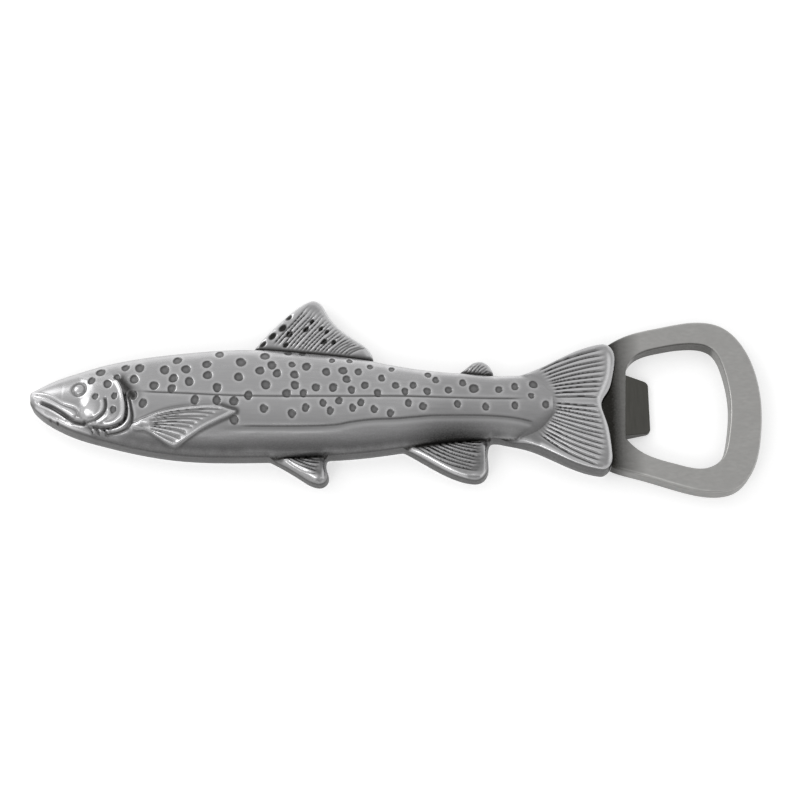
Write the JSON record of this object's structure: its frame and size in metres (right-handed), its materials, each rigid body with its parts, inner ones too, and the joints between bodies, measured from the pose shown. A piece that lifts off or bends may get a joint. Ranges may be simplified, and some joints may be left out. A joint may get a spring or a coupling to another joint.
{
  "type": "souvenir bottle opener",
  "caption": "Fish-shaped crown-cap opener: a cast trout in relief with a flat opener ring and a steel pry tooth at its tail.",
  "frame": {"origin": "middle of the footprint, on the plane of the flat back", "axes": "+X along the length from the fish's nose to the opener ring, +Y towards the back fin, +Z out of the cast front"},
  "size_m": [0.1732, 0.0492, 0.0121],
  "materials": {
    "antique_pewter": "cast and antiqued pewter plating, bright on the high relief and dark in the recesses",
    "satin_pewter": "satin pewter plating with a slight mottle",
    "dark_steel": "blackened hardened steel",
    "plain_steel": "plain zinc-plated steel",
    "cover_metal": "satin pressed sheet, brushed along its length"
  },
  "bodies": {
    "root": {"fish_casting": "antique_pewter", "opener_frame": "satin_pewter", "pry_tooth": "dark_steel", "tooth_rivets": "plain_steel", "tang_rivets": "plain_steel", "back_cover": "cover_metal", "cover_screws": "plain_steel"}
  },
  "joints": []
}
